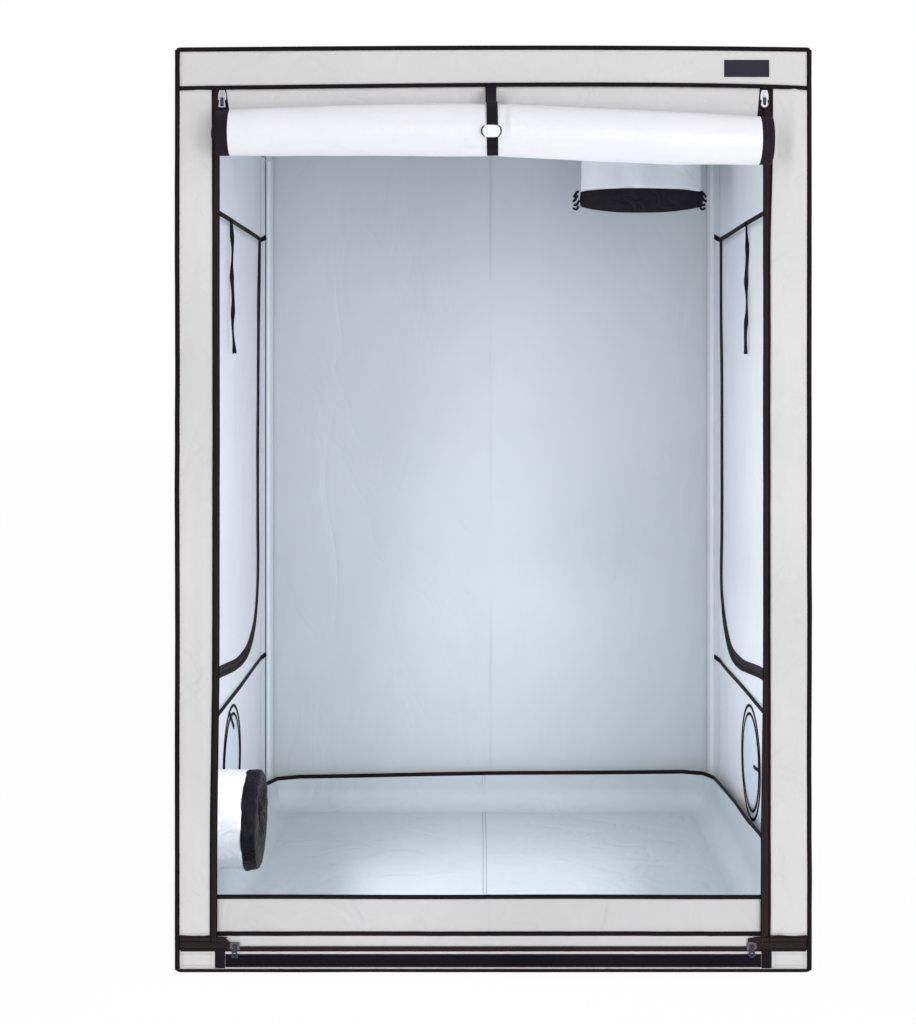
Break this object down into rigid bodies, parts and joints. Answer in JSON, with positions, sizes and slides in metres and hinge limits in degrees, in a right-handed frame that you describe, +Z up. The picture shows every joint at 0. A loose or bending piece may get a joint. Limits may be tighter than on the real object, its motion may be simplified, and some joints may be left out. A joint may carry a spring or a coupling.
{
  "type": "indoor grow tent",
  "caption": "Square zipped fabric grow tent on a steel tube frame, with its front door rolled up, side doors, vent covers and duct sleeves.",
  "frame": {"origin": "on the floor, at the middle of the square cabin", "axes": "+Z up, +X to the right seen from the front, +Y towards the rear wall, so the doorway faces -Y"},
  "size_m": [1.5068, 1.6187, 2.185],
  "materials": {
    "cover_fabric": "matt coated canvas",
    "inner_fabric": "satin reflective white lining",
    "door_fabric": "glossy white lining",
    "sleeve_fabric": "satin white coated cloth",
    "black_tape": "matt black woven tape",
    "white_tube": "white powder coat",
    "socket_plastic": "moulded grey plastic",
    "slider_metal": "nickel plated",
    "toggle_plastic": "white moulded plastic"
  },
  "bodies": {
    "cabin": {"post_front_left": "white_tube", "post_front_right": "white_tube", "post_rear_left": "white_tube", "post_rear_right": "white_tube", "bar_bottom_front": "white_tube", "bar_bottom_rear": "white_tube", "bar_bottom_left": "white_tube", "bar_bottom_right": "white_tube", "bar_top_front": "white_tube", "bar_top_rear": "white_tube", "bar_top_left": "white_tube", "bar_top_right": "white_tube", "corner_bottom_front_left": "socket_plastic", "corner_bottom_front_right": "socket_plastic", "corner_bottom_rear_left": "socket_plastic", "corner_bottom_rear_right": "socket_plastic", "corner_top_front_left": "socket_plastic", "corner_top_front_right": "socket_plastic", "corner_top_rear_left": "socket_plastic", "corner_top_rear_right": "socket_plastic", "roof_panel": "cover_fabric", "floor_sheet": "cover_fabric", "front_header": "cover_fabric", "front_jamb_left": "cover_fabric", "front_jamb_right": "cover_fabric", "front_sill": "cover_fabric", "front_lip": "cover_fabric", "rear_wall": "inner_fabric", "left_wall": "inner_fabric", "right_wall": "inner_fabric", "left_wall_base": "inner_fabric", "right_wall_base": "inner_fabric", "floor_tray": "inner_fabric", "front_door": "door_fabric", "roof_sleeve": "sleeve_fabric", "wall_sleeve": "sleeve_fabric", "front_zip_left": "black_tape", "front_zip_right": "black_tape", "sill_zip": "black_tape", "sill_hook_strip": "black_tape", "door_strap": "black_tape", "left_tie": "black_tape", "right_tie": "black_tape"},
    "hanging_bar_front": {"hanging_bar_front": "white_tube"},
    "hanging_bar_rear": {"hanging_bar_rear": "white_tube"},
    "left_side_door": {"left_side_door": "inner_fabric"},
    "right_side_door": {"right_side_door": "inner_fabric"},
    "left_side_slider": {"left_side_slider": "slider_metal"},
    "right_side_slider": {"right_side_slider": "slider_metal"},
    "left_vent_cover": {"left_vent_cover": "cover_fabric"},
    "right_vent_cover": {"right_vent_cover": "cover_fabric"},
    "front_slider_left": {"front_slider_left": "slider_metal"},
    "front_slider_right": {"front_slider_right": "slider_metal"},
    "front_pull_left": {"front_pull_left": "slider_metal"},
    "front_pull_right": {"front_pull_right": "slider_metal"},
    "sill_slider_left": {"sill_slider_left": "slider_metal"},
    "sill_slider_right": {"sill_slider_right": "slider_metal"},
    "sill_pull_left": {"sill_pull_left": "slider_metal"},
    "sill_pull_right": {"sill_pull_right": "slider_metal"},
    "strap_toggle": {"strap_toggle": "toggle_plastic"}
  },
  "joints": [
    {"name": "hanging_bar_front_slide", "type": "slide", "parent": "cabin", "child": "hanging_bar_front", "axis": [0, 1, 0], "range_m": [-0.45, 0.12]},
    {"name": "hanging_bar_rear_slide", "type": "slide", "parent": "cabin", "child": "hanging_bar_rear", "axis": [0, 1, 0], "range_m": [-0.15, 0.055]},
    {"name": "left_side_door_hem", "type": "hinge", "parent": "cabin", "child": "left_side_door", "pos_m": [-0.7477, 0, 1.8476], "axis": [0, 1, 0], "range_deg": [0, 100]},
    {"name": "left_side_slider_run", "type": "slide", "parent": "left_side_door", "child": "left_side_slider", "axis": [0, 0, -1], "range_m": [0, 0.87]},
    {"name": "left_vent_cover_hem", "type": "hinge", "parent": "cabin", "child": "left_vent_cover", "pos_m": [-0.7494, 0.09, 0.45], "axis": [0, 1, 0], "range_deg": [0, 120]},
    {"name": "front_slider_left_run", "type": "slide", "parent": "cabin", "child": "front_slider_left", "axis": [0, 0, -1], "range_m": [0, 0.02]},
    {"name": "front_pull_left_swing", "type": "hinge", "parent": "front_slider_left", "child": "front_pull_left", "pos_m": [-0.6397, -0.753, 2.0712], "axis": [-1, 0, 0], "range_deg": [0, 150]},
    {"name": "sill_slider_left_run", "type": "slide", "parent": "cabin", "child": "sill_slider_left", "axis": [-1, 0, 0], "range_m": [0, 0.1]},
    {"name": "sill_pull_left_swing", "type": "hinge", "parent": "sill_slider_left", "child": "sill_pull_left", "pos_m": [-0.6097, -0.7553, 0.0633], "axis": [-1, 0, 0], "range_deg": [0, 150]},
    {"name": "right_side_door_hem", "type": "hinge", "parent": "cabin", "child": "right_side_door", "pos_m": [0.7477, 0, 1.8476], "axis": [0, -1, 0], "range_deg": [0, 100]},
    {"name": "right_side_slider_run", "type": "slide", "parent": "right_side_door", "child": "right_side_slider", "axis": [0, 0, -1], "range_m": [0, 0.87]},
    {"name": "right_vent_cover_hem", "type": "hinge", "parent": "cabin", "child": "right_vent_cover", "pos_m": [0.7494, 0.09, 0.45], "axis": [0, -1, 0], "range_deg": [0, 120]},
    {"name": "front_slider_right_run", "type": "slide", "parent": "cabin", "child": "front_slider_right", "axis": [0, 0, -1], "range_m": [0, 0.02]},
    {"name": "front_pull_right_swing", "type": "hinge", "parent": "front_slider_right", "child": "front_pull_right", "pos_m": [0.6397, -0.753, 2.0712], "axis": [-1, 0, 0], "range_deg": [0, 150]},
    {"name": "sill_slider_right_run", "type": "slide", "parent": "cabin", "child": "sill_slider_right", "axis": [1, 0, 0], "range_m": [0, 0.1]},
    {"name": "sill_pull_right_swing", "type": "hinge", "parent": "sill_slider_right", "child": "sill_pull_right", "pos_m": [0.6097, -0.7553, 0.0633], "axis": [-1, 0, 0], "range_deg": [0, 150]},
    {"name": "strap_toggle_turn", "type": "hinge", "parent": "cabin", "child": "strap_toggle", "pos_m": [-0.005, -0.86518, 1.969], "axis": [0, -1, 0], "range_deg": [0, 90]}
  ]
}
